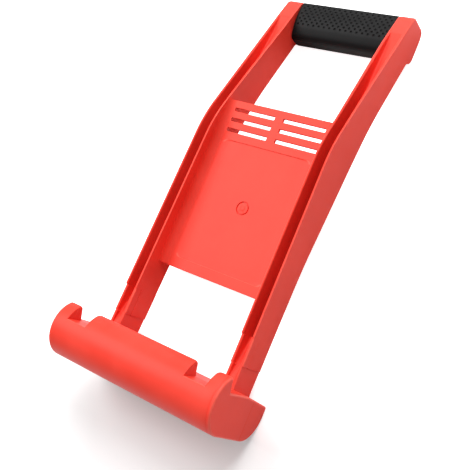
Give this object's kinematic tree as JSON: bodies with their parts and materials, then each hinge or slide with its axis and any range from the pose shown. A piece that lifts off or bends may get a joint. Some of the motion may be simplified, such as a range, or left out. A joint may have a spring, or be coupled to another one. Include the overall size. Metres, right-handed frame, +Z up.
{
  "type": "panel carrier",
  "caption": "Moulded plastic carrier for boards and panels: two channel rails joined by a slotted plate, a broad hook for the panel's lower edge and a soft grip.",
  "frame": {"origin": "middle of the footprint, on the surface that the carrier lies on", "axes": "+X across the carrier, +Y from the hook to the grip, +Z up, out of the side that faces the panel"},
  "size_m": [0.162, 0.3854, 0.0826],
  "materials": {
    "red_plastic": "satin",
    "soft_grip": "matte, dimpled"
  },
  "bodies": {
    "root": {"left_rail": "red_plastic", "right_rail": "red_plastic", "left_rail_foot": "red_plastic", "right_rail_foot": "red_plastic", "centre_plate": "red_plastic", "hook_shell": "red_plastic", "hook_ribs": "red_plastic", "left_hook_end": "red_plastic", "right_hook_end": "red_plastic", "handle_core": "red_plastic", "grip_sleeve": "soft_grip"}
  },
  "joints": []
}
